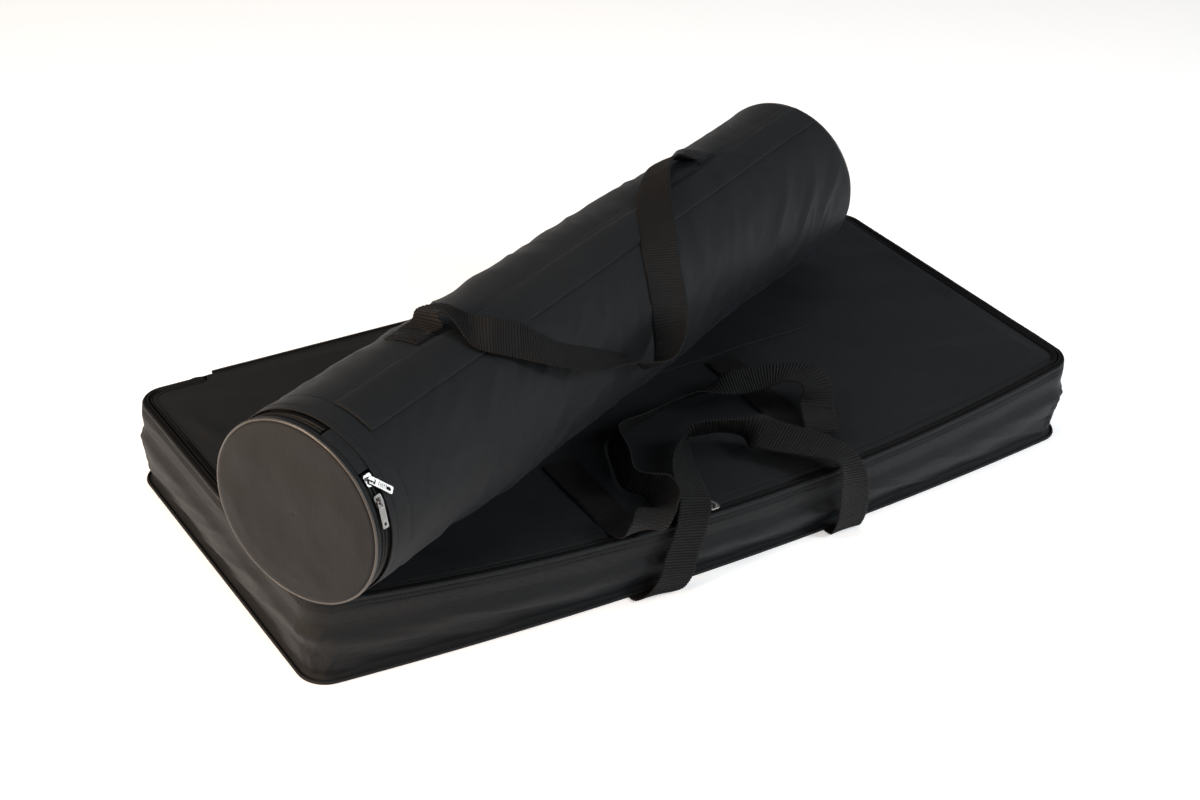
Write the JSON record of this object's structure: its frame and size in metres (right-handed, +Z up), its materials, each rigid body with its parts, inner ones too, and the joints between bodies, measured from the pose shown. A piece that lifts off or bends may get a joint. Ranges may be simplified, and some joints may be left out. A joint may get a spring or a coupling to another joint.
{
  "type": "music stand bag set",
  "caption": "Soft black carrying bags for a music stand: a flat bag with a zipped lid and two webbing handles, and a round tube bag with a zipped cap lying across it.",
  "frame": {"origin": "centre of the flat bag's underside", "axes": "+X along the flat bag from the cap's end, +Y from the handle side to the hinge side, +Z up"},
  "size_m": [1.0462, 0.5642, 0.3287],
  "materials": {
    "polyester": "fine plain weave, matte with a cool sheen",
    "webbing": "ribbed flat webbing, matte",
    "zip_tape": "close weave, matte",
    "zip_coil": "coiled monofilament, satin",
    "piping": "bias-bound cord, slight sheen",
    "stiffener_board": "matte sheet",
    "foam_lining": "foam backed cloth, matte",
    "zip_metal": "bright nickel plate, lightly worn"
  },
  "bodies": {
    "flat_bag": {"base_panel": "polyester", "base_board": "stiffener_board", "front_wall": "polyester", "back_wall": "polyester", "left_wall": "polyester", "right_wall": "polyester", "rim_facing": "polyester", "bag_zip_tape": "zip_tape", "bag_zip_coil": "zip_coil", "zip_end_tabs": "webbing", "lid_hinge_fold": "polyester", "base_handle_strip_left": "webbing", "base_handle_strip_right": "webbing"},
    "flat_lid": {"lid_panel": "polyester", "lid_zip_tape": "zip_tape", "lid_zip_coil": "zip_coil", "lid_handle_strip_left": "webbing", "lid_handle_strip_right": "webbing"},
    "lid_handle": {"lid_handle_loop": "webbing"},
    "base_handle": {"base_handle_loop": "webbing"},
    "lid_slider_left": {"lid_slider_left": "zip_metal"},
    "lid_slider_right": {"lid_slider_right": "zip_metal"},
    "lid_pull_left": {"lid_pull_left": "zip_metal"},
    "lid_pull_right": {"lid_pull_right": "zip_metal"},
    "tube_bag": {"tube_wall": "polyester", "tube_liner": "foam_lining", "tube_mouth_hem": "polyester", "tube_end_disc": "polyester", "tube_end_piping": "piping", "tube_seam_band": "polyester", "tube_zip_tape": "zip_tape", "tube_zip_coil": "zip_coil", "cap_hinge_patch": "polyester", "tube_handle_anchor_left": "webbing", "tube_handle_anchor_right": "webbing"},
    "tube_handle": {"tube_handle_loop": "webbing"},
    "tube_cap": {"cap_disc": "polyester", "cap_piping": "piping", "cap_rim_band": "polyester", "cap_zip_tape": "zip_tape", "cap_zip_coil": "zip_coil"},
    "cap_slider_upper": {"cap_slider_upper": "zip_metal"},
    "cap_slider_lower": {"cap_slider_lower": "zip_metal"},
    "cap_pull_upper": {"cap_pull_upper": "zip_metal"},
    "cap_pull_lower": {"cap_pull_lower": "zip_metal"}
  },
  "joints": [
    {"name": "tube_lift", "type": "slide", "parent": "flat_bag", "child": "tube_bag", "axis": [0, 0, 1], "range_m": [0, 0.96]},
    {"name": "lid_hinge", "type": "hinge", "parent": "flat_bag", "child": "flat_lid", "pos_m": [0, 0.2237, 0.1055], "axis": [-1, 0, 0], "range_deg": [0, 100], "deforming": ["base_handle_loop", "lid_zip_tape", "lid_zip_coil", "bag_zip_tape", "bag_zip_coil"]},
    {"name": "base_handle_swing", "type": "hinge", "parent": "flat_bag", "child": "base_handle", "pos_m": [0, -0.268, 0.004], "axis": [1, 0, 0], "range_deg": [0, 60]},
    {"name": "lid_handle_swing", "type": "hinge", "parent": "flat_lid", "child": "lid_handle", "pos_m": [-0.0005, -0.232, 0.084], "axis": [0.991, 0.1335, 0.0133], "range_deg": [0, 90]},
    {"name": "tube_handle_swing", "type": "hinge", "parent": "tube_bag", "child": "tube_handle", "pos_m": [-0.09454, 0.0208, 0.29663], "axis": [-0.9121, -0.4099, 0], "range_deg": [0, 100]},
    {"name": "cap_hinge", "type": "hinge", "parent": "tube_bag", "child": "tube_cap", "pos_m": [-0.47019, -0.25038, 0.28939], "axis": [-0.3495, 0.7777, 0.5225], "range_deg": [0, 100], "deforming": ["cap_zip_tape", "cap_zip_coil", "cap_hinge_patch"]},
    {"name": "cap_slider_lower_run", "type": "hinge", "parent": "tube_bag", "child": "cap_slider_lower", "pos_m": [-0.49104, -0.20373, 0.206], "axis": [0.9121, 0.4099, 0], "range_deg": [0, 66]},
    {"name": "cap_slider_upper_run", "type": "hinge", "parent": "tube_bag", "child": "cap_slider_upper", "pos_m": [-0.49104, -0.20373, 0.206], "axis": [0.9121, 0.4099, 0], "range_deg": [0, 55]},
    {"name": "lid_slider_left_run", "type": "hinge", "parent": "flat_lid", "child": "lid_slider_left", "pos_m": [0, 1.72998, 2.44936], "axis": [0, -0.7696, 0.6385], "range_deg": [-6.3, 0]},
    {"name": "lid_slider_right_run", "type": "hinge", "parent": "flat_lid", "child": "lid_slider_right", "pos_m": [0, 1.72998, 2.44936], "axis": [0, -0.7696, 0.6385], "range_deg": [0, 8.04]},
    {"name": "lid_pull_left_tilt", "type": "hinge", "parent": "lid_slider_left", "child": "lid_pull_left", "pos_m": [-0.056, -0.24001, 0.08019], "axis": [0.9661, 0.2577, 0.0171], "range_deg": [0, 18]},
    {"name": "lid_pull_right_tilt", "type": "hinge", "parent": "lid_slider_right", "child": "lid_pull_right", "pos_m": [-0.033, -0.24022, 0.07992], "axis": [0.9275, 0.3731, 0.0247], "range_deg": [0, 18]},
    {"name": "cap_pull_upper_tilt", "type": "hinge", "parent": "cap_slider_upper", "child": "cap_pull_upper", "pos_m": [-0.45868, -0.27575, 0.26769], "axis": [-0.5403, -0.6742, -0.5035], "range_deg": [0, 120]},
    {"name": "cap_pull_lower_tilt", "type": "hinge", "parent": "cap_slider_lower", "child": "cap_pull_lower", "pos_m": [-0.45397, -0.28622, 0.24914], "axis": [-0.9248, -0.3703, 0.0867], "range_deg": [0, 120]}
  ],
  "couplings": [
    {"joint": "lid_hinge", "follows": "tube_lift", "rad_per_m": 1.8},
    {"joint": "lid_handle_swing", "follows": "base_handle_swing", "ratio": 1.5},
    {"joint": "cap_slider_upper_run", "follows": "cap_slider_lower_run", "ratio": 0.8}
  ]
}
